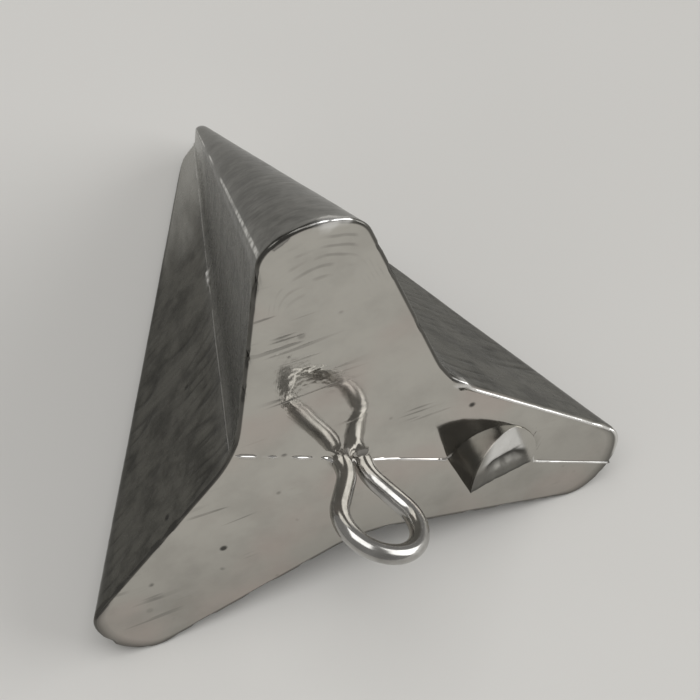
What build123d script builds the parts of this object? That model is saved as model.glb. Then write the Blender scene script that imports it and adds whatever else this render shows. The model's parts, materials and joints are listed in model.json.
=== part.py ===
"""Three-winged cast lead sinker with a bent wire eye cast into its base.

The casting is drawn upright, base on the XY plane and tip towards +Z, and then laid
on the floor the way it comes to rest: on the lower edges of two wings, third wing up.
"""
from build123d import *
import math
import os

# Casting: reach of the wings from the axis, and height from base to tip
WING_REACH = 29.6
BODY_HEIGHT = 46.1
WING_COUNT = 3

# Outline of one wing on the base
WING_END_WIDTH = 9.3
WING_CROWN = 1.8
WING_FLANK_ANGLE = 13.7
SHOULDER_RADIUS = 3.0
FLUTE_RADIUS = 12.0

# Blunt tip: reach where the ridges would end, height of the rounding, and the flat left on it
TIP_REACH = 2.8
TIP_ROUNDING = 1.6
TIP_FLAT_REACH = 0.9
TIP_ROUNDING_STEPS = 3

# Fin left along the joint of the two mould halves
SEAM_WIDTH = 0.45
SEAM_HEIGHT = 0.25

# Half-round stub of the pouring gate, torn off at a slant
GATE_REACH = 15.2
GATE_RADIUS = 4.7
GATE_DRAFT = 8.0
GATE_INNER_HEIGHT = 4.2
GATE_OUTER_HEIGHT = 0.5

# Wire eye: one bent wire, a teardrop bow outside and two legs held in the lead
WIRE_DIAMETER = 1.8
EYE_PROJECTION = 12.2
EYE_OUTER_WIDTH = 9.3
EYE_TAPER_ANGLE = 31.0
LEG_GAP = 0.4
NECK_RADIUS = 3.6
LEG_DEPTH = 15.0
FOOT_LENGTH = 4.6
FOOT_ANGLE = 25.0
FOOT_BEND_RADIUS = 2.4
CAST_GAP = 0.02

# Wings are evenly spaced, the first along +Y; a flute lies halfway between two of them
WING_PITCH = 360.0 / WING_COUNT
HALF_PITCH = math.radians(WING_PITCH / 2)
FLANK = math.radians(WING_FLANK_ANGLE)

# The mould halves meet in a plane through the axis and the middle of the gate's wing
GATE_WING = Vector(0, 1, 0).rotate(Axis.Z, WING_PITCH)
SEAM_PLANE = Plane(origin=(0, 0, 0), x_dir=GATE_WING, z_dir=GATE_WING.cross(Vector(0, 0, 1)))


def flank_crossing():
    """Distance from the axis at which the flanks of two neighbouring wings would cross."""
    shoulder = WING_REACH - WING_CROWN
    width_on_axis = WING_END_WIDTH / 2 + shoulder * math.tan(FLANK)
    return width_on_axis / (math.sin(HALF_PITCH) + math.cos(HALF_PITCH) * math.tan(FLANK))


def flute_reach():
    """Distance from the axis to the bottom of a rounded flute."""
    return flank_crossing() + FLUTE_RADIUS * (1 / math.sin(HALF_PITCH + FLANK) - 1)


def wing_outline(scale):
    """Closed outline of the casting at one height, as a face on the XY plane."""
    half_end = WING_END_WIDTH / 2 * scale
    shoulder = (WING_REACH - WING_CROWN) * scale
    valley = Vector(flank_crossing() * scale, 0, 0)
    left, crown, right = (-half_end, shoulder), (0, WING_REACH * scale), (half_end, shoulder)
    left_valley = valley.rotate(Axis.Z, 90 + WING_PITCH / 2)
    right_valley = valley.rotate(Axis.Z, 90 - WING_PITCH / 2)

    edges = []
    for index in range(WING_COUNT):
        turn = Rot(0, 0, index * WING_PITCH)
        edges.append(turn * Line(right_valley, right))
        edges.append(turn * ThreePointArc(right, crown, left))
        edges.append(turn * Line(left, left_valley))
    sharp = make_face(edges)
    valleys = sharp.vertices().sort_by_distance((0, 0, 0))[:WING_COUNT]
    fluted = fillet(valleys, FLUTE_RADIUS * scale)
    shoulders = fluted.vertices().sort_by_distance((0, 0, 0))[-2 * WING_COUNT:]
    return fillet(shoulders, SHOULDER_RADIUS * scale)


def body_stations():
    """Scale and height of each section, from the base to the end of the rounded tip."""
    corner = TIP_REACH / WING_REACH
    start = corner + (1 - corner) * TIP_ROUNDING / BODY_HEIGHT
    end = TIP_FLAT_REACH / WING_REACH
    stations = [(1.0, 0.0)]
    for step in range(TIP_ROUNDING_STEPS + 1):
        # The rounding leaves the straight ridge and comes in level with the end, as a parabola
        done = step / TIP_ROUNDING_STEPS
        left = 1 - done
        scale = left * left * start + 2 * left * done * corner + done * done * end
        stations.append((scale, BODY_HEIGHT - TIP_ROUNDING * left * left))
    return stations


def bearing(edge):
    """Direction from the axis to the middle of an edge."""
    middle = edge @ 0.5
    return math.atan2(middle.Y, middle.X)


def side_faces(lower, upper):
    """Faces from one outline up to the next: flat over the flanks, ruled over the rounded parts."""
    faces = []
    pairs = zip(lower.edges().sort_by(bearing), upper.edges().sort_by(bearing))
    for low, high in pairs:
        if low.geom_type == GeomType.LINE:
            flank = make_face(Polyline(low @ 0, low @ 1, high @ 1, high @ 0, close=True))
            faces.append(flank.face())
        else:
            faces.append(Face.make_surface_from_curves(low, high))
    return faces


def fluted_body():
    """Straight-ridged body over the wing outline, drawn in to a small rounded tip."""
    outlines = [Pos(0, 0, height) * wing_outline(scale) for scale, height in body_stations()]
    faces = [outlines[0].face(), outlines[-1].face()]
    for lower, upper in zip(outlines, outlines[1:]):
        faces += side_faces(lower, upper)
    return Solid(Shell(faces))


def gate_stub():
    """Half-round gate stub on one side of the seam, highest on the side of the eye."""
    footing = Plane(origin=GATE_WING * GATE_REACH, x_dir=GATE_WING, z_dir=(0, 0, -1))
    tall = max(GATE_INNER_HEIGHT, GATE_OUTER_HEIGHT)
    top_radius = GATE_RADIUS - tall * math.tan(math.radians(GATE_DRAFT))
    post = footing * Cone(GATE_RADIUS, top_radius, tall, arc_size=180, align=None)
    side = Polyline(
        (GATE_REACH - GATE_RADIUS, 0),
        (GATE_REACH + GATE_RADIUS, 0),
        (GATE_REACH + GATE_RADIUS, -GATE_OUTER_HEIGHT),
        (GATE_REACH - GATE_RADIUS, -GATE_INNER_HEIGHT),
        close=True,
    )
    wedge = extrude(SEAM_PLANE * make_face(side), amount=GATE_RADIUS, both=True)
    return post & wedge


def mould_seam():
    """Thin fin that stands out all round the body in the plane of the mould joint."""
    stations = body_stations()
    stations.insert(0, (1.0, -SEAM_HEIGHT))
    stations.append((TIP_FLAT_REACH / WING_REACH, BODY_HEIGHT + SEAM_HEIGHT))
    wing_side = [(WING_REACH * scale + SEAM_HEIGHT, height) for scale, height in stations]
    flute_side = [(-flute_reach() * scale - SEAM_HEIGHT, height) for scale, height in stations]
    profile = make_face(Polyline(*wing_side, *reversed(flute_side), close=True))
    return extrude(SEAM_PLANE * profile, amount=SEAM_WIDTH / 2, both=True)


def eye_path():
    """Centre line of the wire in the seam plane: foot, leg, bow, leg and foot."""
    bow_radius = (EYE_OUTER_WIDTH - WIRE_DIAMETER) / 2
    bow_centre = EYE_PROJECTION - EYE_OUTER_WIDTH / 2
    leg = (LEG_GAP + WIRE_DIAMETER) / 2
    taper = math.radians(EYE_TAPER_ANGLE)
    foot = math.radians(FOOT_ANGLE)

    # The taper is tangent to the bow and meets the leg's line at the neck
    tangent = (bow_radius * math.cos(taper), bow_centre - bow_radius * math.sin(taper))
    neck_out = tangent[1] - (tangent[0] - leg) / math.tan(taper)
    foot_end = (leg + FOOT_LENGTH * math.sin(foot), LEG_DEPTH + FOOT_LENGTH * math.cos(foot))

    def side(sign):
        points = [foot_end, (leg, LEG_DEPTH), (leg, -neck_out), (tangent[0], -tangent[1])]
        bends = [FOOT_BEND_RADIUS, NECK_RADIUS]
        return FilletPolyline(*[(sign * across, along) for across, along in points], radius=bends)

    bow = ThreePointArc(
        (tangent[0], -tangent[1]),
        (0, -bow_centre - bow_radius),
        (-tangent[0], -tangent[1]),
    )
    return SEAM_PLANE * Wire(side(1).edges() + bow.edges() + side(-1).edges())


def round_wire(diameter):
    """Round wire of one diameter along the eye's centre line."""
    path = eye_path()
    return sweep(Plane(origin=path @ 0, z_dir=path % 0) * Circle(diameter / 2), path=path)


def lead_body():
    """The casting: fluted body, gate stub and seam, with the channel that the wire fills."""
    channel = round_wire(WIRE_DIAMETER + 2 * CAST_GAP)
    return fluted_body() + gate_stub() + mould_seam() - channel


def wire_eye():
    """The bent wire, bow and buried legs in one piece."""
    return round_wire(WIRE_DIAMETER)


def resting_plane():
    """Plane that lays the upright casting on the lower edges of its two floor wings."""
    support = -wing_outline(1.0).bounding_box().min.Y
    tilt = math.atan(support * (1 - TIP_REACH / WING_REACH) / BODY_HEIGHT)
    return Plane(
        origin=(0, 0, support * math.cos(tilt)),
        x_dir=(0, 1, 0),
        z_dir=(math.cos(tilt), 0, -math.sin(tilt)),
    )


def main():
    """Build both pieces, lay them down over the origin and write one file for each."""
    upright = {"lead_body": lead_body(), "wire_eye": wire_eye()}
    lying = {name: resting_plane() * piece for name, piece in upright.items()}
    box = lying["lead_body"].bounding_box().add(lying["wire_eye"].bounding_box())
    centred = Pos(-(box.min.X + box.max.X) / 2, -(box.min.Y + box.max.Y) / 2, 0)

    os.makedirs("parts", exist_ok=True)
    for name, piece in lying.items():
        export_step(centred * piece, f"parts/{name}.step")


main()
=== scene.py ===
"""Looks of a winged lead sinker: the cast body and its wire eye, on a plain pale floor.

Every size is in metres. The casting is drawn upright, base on the XY plane and tip towards +Z,
and is then laid into the frame by the pose that the eye's mount gives.
"""
import json
import logging
import math
from dataclasses import dataclass
from enum import Enum

import bmesh
import bpy
from mathutils import Matrix, Vector, noise


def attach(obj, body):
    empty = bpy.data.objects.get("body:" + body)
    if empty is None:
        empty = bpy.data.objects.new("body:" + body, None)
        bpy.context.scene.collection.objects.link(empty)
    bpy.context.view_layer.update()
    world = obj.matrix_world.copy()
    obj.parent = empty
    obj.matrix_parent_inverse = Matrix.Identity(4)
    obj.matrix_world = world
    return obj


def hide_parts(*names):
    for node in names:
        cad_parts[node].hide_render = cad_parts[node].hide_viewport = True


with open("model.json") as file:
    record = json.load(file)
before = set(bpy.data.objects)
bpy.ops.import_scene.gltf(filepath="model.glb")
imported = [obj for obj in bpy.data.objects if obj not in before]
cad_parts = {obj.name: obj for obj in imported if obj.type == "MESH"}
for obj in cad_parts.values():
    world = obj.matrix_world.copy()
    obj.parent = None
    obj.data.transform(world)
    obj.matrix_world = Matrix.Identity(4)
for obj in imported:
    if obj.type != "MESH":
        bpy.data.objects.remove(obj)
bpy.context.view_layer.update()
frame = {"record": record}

log = logging.getLogger("sinker")

UP = Vector((0.0, 0.0, 1.0))
WELD = 1e-7

# Value of a gap that is too wide to matter
FAR = 9.0

# Shares of the outline: the border inside the rim, the first ring inside that, and what counts as rim
BORDER_SHARE = 0.99
FIRST_RING_SHARE = 0.985
RIM_SHARE = 0.9985

# Height that still counts as rim, in roundings of the rim
RIM_SLACK = 1.05

# Cuts beside the mould seam, in half widths of its fin, and how far off faces are cut, in whole ones
SEAM_CUTS = (-1.0, -0.5, 0.5, 1.0)
SEAM_CUT_REACH = 4.0

# Middle of a half round, in radii from its flat side
HALF_ROUND_MIDDLE = 0.42

WING_COUNT = 3
HALF_PITCH = math.pi / WING_COUNT

# The mould halves meet in a plane through the axis and the middle of the gate's wing
GATE_WING = Matrix.Rotation(2 * HALF_PITCH, 3, UP) @ Vector((0.0, 1.0, 0.0))
SEAM_NORMAL = GATE_WING.cross(UP)

# Point attribute with a piece's own straight or upright place, which its textures follow
OWN_PLACE = "own_place"

# Bow of the eye, shared by the wire and by the pose that lays the casting down
EYE_PROJECTION = 0.0122
EYE_OUTER_WIDTH = 0.0093
WIRE_RADIUS = 0.0009
LEG_OFFSET = 0.0011


class Bend(Enum):
    """Side to which a traced line bends, seen with the plane's normal towards the viewer."""

    LEFT = 1.0
    RIGHT = -1.0


class Skin(Enum):
    """Point attributes of the casting that its finish reads."""

    OPEN_FACE = "open_face"
    RIDGE = "ridge"
    # Painted shade: chill lines, chips, nicks, the bare rim, the collar, the floor-side edges and the stub
    PAINTED_SHADE = "groove_and_shade"
    # Painted highlight: the seam fin, the flash, beads and the stub's upper facet
    PAINTED_GLINT = "painted_glint"
    TORN = "torn"
    SCUFF = "scuff"
    SHOULDER_GAP = "shoulder_gap"
    BASE_RING = "base_ring"


class Draft(Enum):
    """Point values that the casting carries only while it is modelled."""

    SHARE = "share"
    CORNER = "corner"
    LIFT = "lift"
    FOOTING = "footing"


PLAIN_DRAFTS = (Draft.SHARE, Draft.CORNER, Draft.LIFT)


@dataclass(frozen=True)
class Fault:
    """One bead or nick of the casting, at a place in its own frame."""

    place: tuple
    spread: float
    rise: float

    def at(self, place: Vector) -> float:
        """Rise of the fault at a place, in the shape of a round bump."""
        return self.rise * math.exp(-(place - Vector(self.place)).length_squared / self.spread ** 2)


@dataclass(frozen=True)
class Wave:
    """One layer of smooth relief: the length of its waves and the height of its crests."""

    length: float
    height: float = 1.0
    seed: tuple = (0.0, 0.0, 0.0)

    def at(self, place: Vector) -> float:
        """Height of the layer at a place."""
        return self.height * noise.noise(place / self.length + Vector(self.seed))


@dataclass(frozen=True)
class Crease:
    """One layer of fine lines, which run where stretched noise passes through zero."""

    lengths: tuple
    width: float
    seed: tuple = (0.0, 0.0, 0.0)

    def at(self, place: Vector, drift: Vector) -> float:
        """Depth share of the lines at a place, with the lines shifted by a drift."""
        spot = Vector(step / length for step, length in zip(place, self.lengths)) + Vector(self.seed)
        return max(0.0, 1.0 - abs(noise.noise(spot + drift)) / self.width)


@dataclass(frozen=True)
class Rise:
    """Smooth rise from 0 at a low value to 1 at a high one."""

    low: float
    high: float

    def at(self, value: float) -> float:
        """Share of the rise at a value."""
        share = min(max((value - self.low) / (self.high - self.low), 0.0), 1.0)
        return share * share * (3.0 - 2.0 * share)


def lying_pose() -> Matrix:
    """Work out where the upright casting lies, from the mount at the eye's bow.

    Returns:
        The matrix from the casting's own frame to the shared frame.
    """
    mount = frame["record"]["mounts"][0]
    across = Vector(mount["axis"])
    tilt = math.atan2(across.x, across.z)
    tipward = Vector((math.cos(tilt), 0.0, -math.sin(tilt)))
    upright = Vector((math.sin(tilt), 0.0, math.cos(tilt)))
    base = Vector(mount["pos_m"]) + tipward * (EYE_PROJECTION - EYE_OUTER_WIDTH / 2)
    turn = Matrix((Vector((0.0, 1.0, 0.0)), upright, tipward)).transposed()
    return Matrix.Translation(base) @ turn.to_4x4()


def verts_of(geometry: list) -> list:
    """Vertices among mixed bmesh elements."""
    return [item for item in geometry if isinstance(item, bmesh.types.BMVert)]


def edges_of(geometry: list) -> list:
    """Edges among mixed bmesh elements."""
    return [item for item in geometry if isinstance(item, bmesh.types.BMEdge)]


def note(vert: bmesh.types.BMVert, marks: dict, values: dict) -> None:
    """Write what a point carries for the finish."""
    for skin, value in values.items():
        vert[marks[skin]] = value


def finish_piece(bm: bmesh.types.BMesh, name: str, node: str) -> bpy.types.Object:
    """Turn a bmesh into a shown piece that stands for a frame node.

    Args:
        bm: The finished mesh, already in the shared frame. It is freed.
        name: Name of the new piece.
        node: Frame node that the piece stands for.

    Returns:
        The new object, which sits at the origin.
    """
    open_edges = sum(1 for edge in bm.edges if not edge.is_manifold)
    triangles = sum(len(face.verts) - 2 for face in bm.faces)
    mesh = bpy.data.meshes.new(name)
    bm.to_mesh(mesh)
    bm.free()
    piece = bpy.data.objects.new(name, mesh)
    bpy.context.scene.collection.objects.link(piece)
    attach(piece, "root")
    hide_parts(node)
    log.info("%s: %d triangles, %d open edges", name, triangles, open_edges)
    return piece


class Tracer:
    """Draws a section along straight and bent stretches in one plane.

    A section of one vertex leaves a line, and a ring of edges leaves a tube.
    """

    def __init__(
        self, bm: bmesh.types.BMesh, section: list, start: Vector, heading: Vector, normal: Vector
    ) -> None:
        """Take up a section.

        Args:
            bm: Mesh that is drawn in.
            section: Bmesh elements that are drawn along.
            start: Place of the section.
            heading: Direction of the first stretch.
            normal: Normal of the plane that all stretches lie in.
        """
        self.bm = bm
        self.section = section
        self.place = start.copy()
        self.heading = heading.normalized()
        self.normal = normal.normalized()
        self.travelled = 0.0

    def _step(self, pivot: Vector, angle: float, shift: Vector, length: float) -> None:
        """Draw the section on by one small turn or shift.

        Args:
            pivot: Place that the section turns about.
            angle: Angle of the turn.
            shift: Shift of the section.
            length: Length of the way that its middle takes.
        """
        made = bmesh.ops.spin(
            self.bm, geom=self.section, cent=pivot, axis=self.normal, dvec=shift, angle=angle, steps=1
        )
        self.section = made["geom_last"]
        self.travelled += length
        self.mark_section(length)

    def mark_section(self, length: float) -> None:
        """Hook for what a new section carries; a plain line carries nothing."""

    def face(self, heading: Vector) -> None:
        """Turn on the spot to a new heading."""
        self.heading = heading.normalized()

    def ahead(self, length: float, steps: int) -> None:
        """Draw a straight stretch.

        Args:
            length: Length of the stretch.
            steps: Number of equal steps.
        """
        shift = self.heading * (length / steps)
        for _ in range(steps):
            self._step(self.place, 0.0, shift, length / steps)
            self.place += shift

    def bend(self, radius: float, angle: float, side: Bend, steps: int) -> None:
        """Draw an arc.

        Args:
            radius: Radius of the arc at the middle of the section.
            angle: Angle that the heading turns by.
            side: Side that the arc bends to.
            steps: Number of equal steps.
        """
        pivot = self.place + self.normal.cross(self.heading) * (radius * side.value)
        small = angle * side.value / steps
        turn = Matrix.Rotation(small, 3, self.normal)
        for _ in range(steps):
            self._step(pivot, small, Vector(), radius * angle / steps)
            self.place = pivot + turn @ (self.place - pivot)
            self.heading = turn @ self.heading


class TubeTracer(Tracer):
    """Tracer of a round tube that notes where each point lay on the straight, undrawn tube."""

    def mark_section(self, length: float) -> None:
        """Move the new ring's noted place on.

        Args:
            length: Length of the step that was drawn.
        """
        layer = self.bm.verts.layers.float_vector[OWN_PLACE]
        for vert in verts_of(self.section):
            vert[layer] = vert[layer] + UP * length


@dataclass
class LeadCasting:
    """The casting: three wings, flat base, gate stub, mould seam and chilled skin."""

    # Outline and height
    wing_reach: float = 0.0296
    height: float = 0.0461
    end_width: float = 0.0093
    crown: float = 0.0018
    flank_angle: float = math.radians(13.7)
    shoulder_radius: float = 0.003
    flute_radius: float = 0.012

    # Blunt tip and rounded rim
    tip_reach: float = 0.0028
    tip_rounding: float = 0.0019
    tip_flat: float = 0.0023
    rim_border: float = 0.00012
    rim_rounding: float = 0.00024
    rim_fade: Rise = Rise(0.3, 0.8)

    # Gate stub, the step across its torn face, and the spans of its painted highlight and shade
    gate_reach: float = 0.0152
    gate_radius: float = 0.0047
    gate_draft: float = math.radians(8.0)
    gate_inner_height: float = 0.0042
    gate_outer_height: float = 0.00012
    gate_lean: float = 0.9
    gate_step: float = 0.0016
    gate_step_width: float = 0.0005
    gate_step_start: Rise = Rise(-0.7, -0.2)
    gate_dish: float = 0.0006
    gate_spare: float = 0.12
    torn_top: Rise = Rise(0.9, 1.0)
    torn_flush: Rise = Rise(0.96, 1.04)
    torn_upper: Rise = Rise(0.0, 0.0005)
    torn_upper_start: Rise = Rise(-0.75, -0.4)
    torn_lower: Rise = Rise(-0.0004, 0.0002)
    torn_edge: Rise = Rise(0.0001, 0.0004)
    torn_coarse: Wave = Wave(0.0013, 0.00008)
    torn_fine: Wave = Wave(0.0005, 0.00003)

    # Fin of the mould seam
    seam_width: float = 0.00036
    seam_height: float = 0.00021
    seam_side_share: float = 0.7
    seam_far_share: float = 0.4
    seam_break: Wave = Wave(0.0019, seed=(0.0, 0.0, 3.7))
    seam_grain: Wave = Wave(0.0006, 0.3, (0.0, 0.0, 9.1))
    seam_gaps: Rise = Rise(-0.4, -0.12)

    # Flash and chips along the base's edge, with the painted highlight on the flash and the painted shade
    # in chips
    lip_height: float = 0.0002
    lip_along: Rise = Rise(0.004, 0.009)
    lip_off: Rise = Rise(0.0, 0.003)
    lip_swell: Wave = Wave(0.008, 0.25, (0.0, 0.0, 6.25))
    lip_rag: Wave = Wave(0.0016, seed=(0.0, 0.0, 12.5))
    lip_shine: Rise = Rise(0.2, 0.8)
    chip_depth: float = 0.00013
    chip_spread: Wave = Wave(0.0017)
    chip_cover: Rise = Rise(0.15, 0.5)
    chip_shade: Rise = Rise(0.0, 0.0001)

    # Collar round the wire, and the painted shade round it
    collar_height: float = 0.0006
    collar_reach: float = 0.0005
    collar_rag: Wave = Wave(0.0008, 0.7)
    collar_shade: Rise = Rise(0.0002, 0.0005)

    # Skin of the sides: chill lines, swell and pebbled patches
    ridge_start: Rise = Rise(0.87, 0.95)
    shoulder_start: float = 0.8
    chill_depth: float = 0.000045
    chill_long: Crease = Crease((0.0075, 0.0075, 0.00135), 0.17)
    chill_short: Crease = Crease((0.0034, 0.0034, 0.0008), 0.2, (0.0, 0.0, 7.0))
    chill_drift: Wave = Wave(0.011, 1.1)
    chill_patch: Wave = Wave(0.0062, seed=(4.0, 0.0, 0.0))
    chill_cover: Rise = Rise(-0.35, 0.25)
    chill_fade: Rise = Rise(0.012, 0.037)
    side_swell: Wave = Wave(0.009, 0.00005)
    side_ripple: Wave = Wave(0.003, 0.000014)
    pebble: Wave = Wave(0.0007, 0.00005)
    pebble_patch: Wave = Wave(0.012, seed=(0.0, 8.0, 0.0))
    pebble_cover: Rise = Rise(0.0, 0.35)
    pebble_fade: Rise = Rise(0.006, 0.02)

    # Skin of the base: swell, shrink arcs, and the painted shade along the edges of the wings that lie
    # towards the floor
    base_swell: Wave = Wave(0.0075, 0.000022)
    base_ripple: Wave = Wave(0.0026, 0.000007)
    arc_height: float = 0.000008
    arc_count: float = 95.0
    arc_start: Rise = Rise(0.014, 0.021)
    arc_patch: Wave = Wave(0.0045, seed=(0.0, 0.0, 6.0))
    arc_cover: Rise = Rise(-0.3, 0.3)
    arc_inner: Rise = Rise(0.55, 0.7)
    arc_outer: Rise = Rise(0.93, 0.97)
    low_wings: Rise = Rise(-0.001, 0.004)
    low_side: Rise = Rise(0.0, 0.003)
    low_end: Rise = Rise(0.025, 0.027)
    border_line: Rise = Rise(0.98, 0.99)
    border_fade: Rise = Rise(0.955, 0.985)

    # Steps and rows of the mesh, and the angle from which an edge is shown sharp
    crown_steps: int = 7
    shoulder_steps: int = 6
    flank_steps: int = 26
    flute_steps: int = 5
    side_rows: int = 256
    rim_steps: int = 3
    tip_rows: int = 6
    base_rings: int = 50
    gate_side_steps: int = 28
    gate_arc_steps: int = 44
    stub_rows: int = 12
    stub_rings: int = 16
    crease_angle: float = math.radians(62.0)

    # Beads and nicks, with the painted highlight on beads and the painted shade in nicks, and scuffs
    bead_shine: Rise = Rise(0.00005, 0.0002)
    nick_shade: Rise = Rise(0.00008, 0.0003)
    faults: tuple = (
        Fault((-0.01127, 0.0048, 0.0), 0.00065, 0.00048),
        Fault((-0.0015, 0.0294, 0.0), 0.0009, 0.00036),
        Fault((-0.0031, 0.0290, 0.0), 0.0006, 0.00026),
        Fault((0.00721, 0.0173, 0.0), 0.0006, -0.00036),
        Fault((0.0082, 0.01325, 0.0), 0.0005, -0.0003),
        Fault((0.00523, 0.02542, 0.0), 0.0008, -0.0003),
        Fault((0.0056, 0.0032, 0.0232), 0.0005, 0.0002),
        Fault((0.0054, 0.0031, 0.0243), 0.0005, 0.00024),
    )
    scuffs: tuple = (
        Fault((0.0037, 0.0195, 0.0), 0.0034, 1.0),
        Fault((0.0014, 0.0122, 0.0), 0.0026, 0.8),
        Fault((0.0046, 0.0104, 0.0), 0.0015, 0.8),
        Fault((-0.0013, 0.0056, 0.0), 0.0014, 0.6),
        Fault((-0.0102, 0.0065, 0.0), 0.0014, 0.9),
        Fault((0.021, -0.013, 0.0), 0.003, 0.5),
    )

    def build(self, pose: Matrix) -> bpy.types.Object:
        """Model the casting, weather its skin and lay it down.

        Args:
            pose: Matrix from the casting's frame to the shared frame.

        Returns:
            The finished piece.
        """
        bm = bmesh.new()
        for mark in Skin:
            bm.verts.layers.float.new(mark.value)
        for draft in PLAIN_DRAFTS:
            bm.verts.layers.float.new(draft.value)
        bm.verts.layers.float_vector.new(Draft.FOOTING.value)
        bm.verts.layers.float_vector.new(OWN_PLACE)
        rim = self._trace_outline(bm)
        self._raise_sides(bm, rim)
        self._close_base(bm, rim)
        self._cut_seam_lines(bm)
        self._raise_stub(bm)
        bmesh.ops.recalc_face_normals(bm, faces=bm.faces)
        bm.normal_update()
        self._weather(bm)
        for face in bm.faces:
            face.smooth = True
        for edge in bm.edges:
            if edge.is_manifold and edge.calc_face_angle() > self.crease_angle:
                edge.smooth = False
        for draft in PLAIN_DRAFTS:
            bm.verts.layers.float.remove(bm.verts.layers.float[draft.value])
        bm.verts.layers.float_vector.remove(bm.verts.layers.float_vector[Draft.FOOTING.value])
        upright = bm.verts.layers.float_vector[OWN_PLACE]
        for vert in bm.verts:
            vert[upright] = vert.co
        bmesh.ops.transform(bm, matrix=pose, verts=bm.verts)
        return finish_piece(bm, "cast_lead_body", "lead_body")

    def dress(self, piece: bpy.types.Object, finish: "CastLeadFinish") -> None:
        """Give the built casting its finish."""
        piece.data.materials.append(finish.material())

    @property
    def corner_share(self) -> float:
        """Scale of the section where the straight ridges would end."""
        return self.tip_reach / self.wing_reach

    def section_share(self, level: float) -> float:
        """Scale of the straight-ridged section at a height."""
        return 1.0 - (1.0 - self.corner_share) * level / self.height

    def _trace_outline(self, bm: bmesh.types.BMesh) -> list:
        """Trace half a wing's outline, then mirror and repeat it.

        Args:
            bm: Mesh that is drawn in.

        Returns:
            The edges of the closed outline on the XY plane.
        """
        half_end = self.end_width / 2
        crown_radius = (half_end ** 2 + self.crown ** 2) / (2 * self.crown)
        crown_centre = Vector((0.0, self.wing_reach - crown_radius, 0.0))
        corner = Vector((half_end, self.wing_reach - self.crown, 0.0))
        along = Vector((math.sin(self.flank_angle), -math.cos(self.flank_angle), 0.0))
        inward = Vector((-math.cos(self.flank_angle), -math.sin(self.flank_angle), 0.0))

        # The shoulder arc is tangent to the crown from inside and to the flank
        sink = (crown_centre - corner).dot(inward) - self.shoulder_radius
        rise = math.sqrt((crown_radius - self.shoulder_radius) ** 2 - sink ** 2)
        shoulder_centre = crown_centre - inward * sink - along * rise
        crown_turn = math.atan2(
            shoulder_centre.x - crown_centre.x, shoulder_centre.y - crown_centre.y
        )
        flank_start = shoulder_centre - inward * self.shoulder_radius

        # Flanks of two wings would cross in a corner, which the flute's arc rounds off
        width_on_axis = half_end + corner.y * math.tan(self.flank_angle)
        crossing = width_on_axis / (
            math.sin(HALF_PITCH) + math.cos(HALF_PITCH) * math.tan(self.flank_angle)
        )
        valley = Vector((math.sin(HALF_PITCH), math.cos(HALF_PITCH), 0.0)) * crossing
        flank_turn = math.pi / 2 - self.flank_angle
        flute_turn = flank_turn - HALF_PITCH
        flank_length = (valley - flank_start).length - self.flute_radius * math.tan(flute_turn)

        start = Vector((0.0, self.wing_reach, 0.0))
        tracer = Tracer(bm, [bm.verts.new(start)], start, Vector((1.0, 0.0, 0.0)), UP)
        tracer.bend(crown_radius, crown_turn, Bend.RIGHT, self.crown_steps)
        tracer.bend(self.shoulder_radius, flank_turn - crown_turn, Bend.RIGHT, self.shoulder_steps)
        tracer.ahead(flank_length, self.flank_steps)
        tracer.bend(self.flute_radius, flute_turn, Bend.LEFT, self.flute_steps)

        bmesh.ops.mirror(bm, geom=[*bm.verts, *bm.edges], matrix=Matrix(), merge_dist=WELD, axis="X")
        bmesh.ops.spin(
            bm, geom=[*bm.verts, *bm.edges], cent=Vector(), axis=UP, use_duplicate=True,
            angle=2 * HALF_PITCH * (WING_COUNT - 1), steps=WING_COUNT - 1,
        )
        bmesh.ops.remove_doubles(bm, verts=bm.verts, dist=WELD * 10)
        share = bm.verts.layers.float[Draft.SHARE.value]
        shoulder = bm.verts.layers.float[Draft.CORNER.value]
        outward = ((shoulder_centre - crown_centre).normalized() - inward).normalized()
        middle = shoulder_centre + outward * self.shoulder_radius
        for vert in bm.verts:
            vert[share] = 1.0
            bearing = math.atan2(vert.co.x, vert.co.y)
            folded = abs((bearing + HALF_PITCH) % (2 * HALF_PITCH) - HALF_PITCH)
            place = Vector((math.sin(folded), math.cos(folded), 0.0)) * vert.co.length
            vert[shoulder] = abs((place - middle).cross(outward).z) / self.shoulder_radius
        return list(bm.edges)

    def _draw_in(self, bm: bmesh.types.BMesh, loop: list, scale: float, shift: float) -> list:
        """Extrude a loop of edges and set the copy in its place.

        Args:
            bm: Mesh that is drawn in.
            loop: Edges that are extruded.
            scale: Scale of the copy about the axis.
            shift: Shift of the copy along the axis.

        Returns:
            The edges of the copy.
        """
        made = bmesh.ops.extrude_edge_only(bm, edges=loop)["geom"]
        bmesh.ops.scale(bm, vec=Vector((scale, scale, 1.0)), verts=verts_of(made))
        bmesh.ops.translate(bm, vec=UP * shift, verts=verts_of(made))
        return edges_of(made)

    def _raise_sides(self, bm: bmesh.types.BMesh, rim: list) -> None:
        """Lift the rim by its rounding, raise the straight-ridged sides and round them over at the tip.

        Args:
            bm: Mesh that is drawn in.
            rim: Edges of the outline on the base.
        """
        start_level = self.height - self.tip_rounding
        start_share = self.section_share(start_level)
        rim_share = self.section_share(self.rim_rounding)
        bmesh.ops.scale(bm, vec=Vector((rim_share, rim_share, 1.0)), verts=bm.verts)
        bmesh.ops.translate(bm, vec=UP * self.rim_rounding, verts=bm.verts)
        loop = self._draw_in(bm, rim, start_share / rim_share, start_level - self.rim_rounding)
        level_edges = {*rim, *loop}
        upright = [edge for edge in bm.edges if edge not in level_edges]
        bmesh.ops.subdivide_edges(bm, edges=upright, cuts=self.side_rows - 1, use_grid_fill=True)

        end_share = self.tip_flat / self.wing_reach
        loop = [edge for edge in bm.edges if min(v.co.z for v in edge.verts) > start_level - WELD]
        share, level = start_share, start_level
        for row in range(1, self.tip_rows + 1):
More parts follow.
